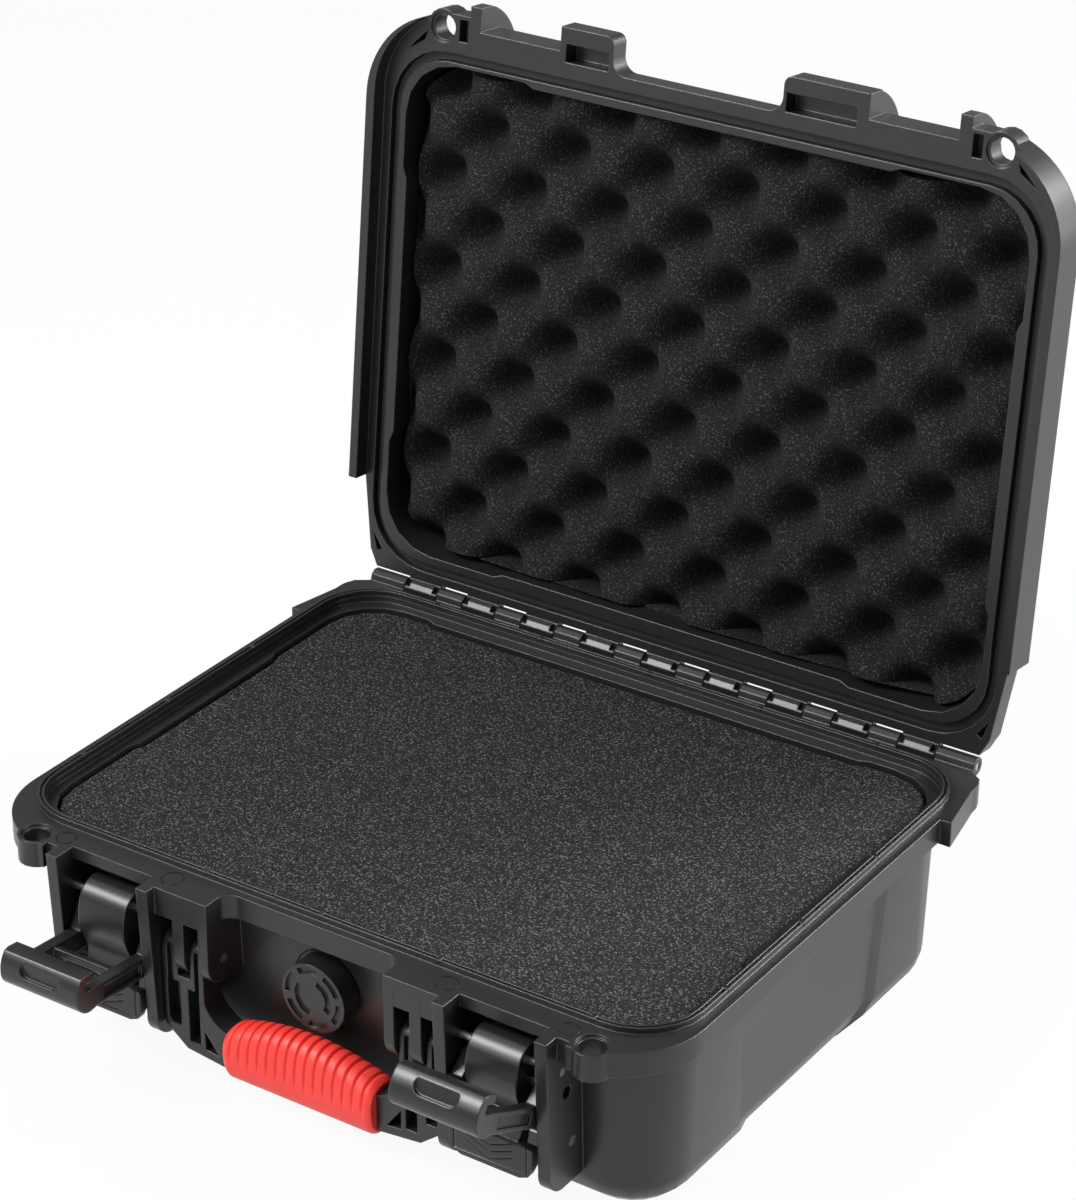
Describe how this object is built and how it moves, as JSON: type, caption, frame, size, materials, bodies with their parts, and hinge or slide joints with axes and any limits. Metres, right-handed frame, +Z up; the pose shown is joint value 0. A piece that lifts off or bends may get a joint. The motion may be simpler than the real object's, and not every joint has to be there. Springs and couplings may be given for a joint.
{
  "type": "hard case",
  "caption": "Moulded hard case standing open: foam-filled tub, hinged lid with convoluted foam, toggle latches, folding handle with rubber grip and an air valve.",
  "frame": {"origin": "centre of the flat underside", "axes": "+X along the front, +Y from the latches towards the hinge, +Z up"},
  "size_m": [0.3508, 0.3976, 0.3717],
  "materials": {
    "shell_plastic": "fine satin moulded texture",
    "latch_plastic": "satin moulded",
    "grip_rubber": "soft red overmould",
    "foam": "open-cell foam",
    "gasket_rubber": "black seal",
    "pin_steel": "plain",
    "valve_plastic": "satin moulded"
  },
  "bodies": {
    "base": {"base_shell": "shell_plastic", "base_foam_block": "foam", "base_foam_pad": "foam", "hinge_pin": "pin_steel", "lever_pin_left": "pin_steel", "lever_pin_right": "pin_steel", "catch_pin_left": "pin_steel", "catch_pin_right": "pin_steel", "handle_pin_left": "pin_steel", "handle_pin_right": "pin_steel", "valve_body": "valve_plastic", "valve_nut": "valve_plastic", "valve_washer": "gasket_rubber"},
    "lid": {"lid_shell": "shell_plastic", "lid_gasket": "gasket_rubber", "lid_foam": "foam"},
    "handle": {"handle_frame": "latch_plastic", "handle_grip": "grip_rubber"},
    "lever_left": {"latch_lever_left": "latch_plastic", "claw_pin_left": "pin_steel"},
    "lever_right": {"latch_lever_right": "latch_plastic", "claw_pin_right": "pin_steel"},
    "claw_left": {"latch_claw_left": "latch_plastic"},
    "claw_right": {"latch_claw_right": "latch_plastic"},
    "valve": {"valve_knob": "valve_plastic"}
  },
  "joints": [
    {"name": "lid_hinge", "type": "hinge", "parent": "base", "child": "lid", "pos_m": [0, 0.136, 0.0905], "axis": [-1, 0, 0], "range_deg": [-96.4, 0]},
    {"name": "handle_swing", "type": "hinge", "parent": "base", "child": "handle", "pos_m": [0, -0.131, 0.06], "axis": [-1, 0, 0], "range_deg": [0, 90]},
    {"name": "lever_left_swing", "type": "hinge", "parent": "base", "child": "lever_left", "pos_m": [-0.09885, -0.134, 0.0715], "axis": [-1, 0, 0], "range_deg": [0, 85]},
    {"name": "lever_right_swing", "type": "hinge", "parent": "base", "child": "lever_right", "pos_m": [0.09885, -0.134, 0.0715], "axis": [-1, 0, 0], "range_deg": [0, 85]},
    {"name": "claw_left_swing", "type": "hinge", "parent": "lever_left", "child": "claw_left", "pos_m": [-0.09885, -0.1312, 0.0605], "axis": [1, 0, 0], "range_deg": [-88, 0]},
    {"name": "claw_right_swing", "type": "hinge", "parent": "lever_right", "child": "claw_right", "pos_m": [0.09885, -0.1312, 0.0605], "axis": [1, 0, 0], "range_deg": [-67, 21]},
    {"name": "valve_turn", "type": "hinge", "parent": "base", "child": "valve", "pos_m": [0, -0.1235, 0.056], "axis": [0, -1, 0], "range_deg": [0, 180]}
  ]
}
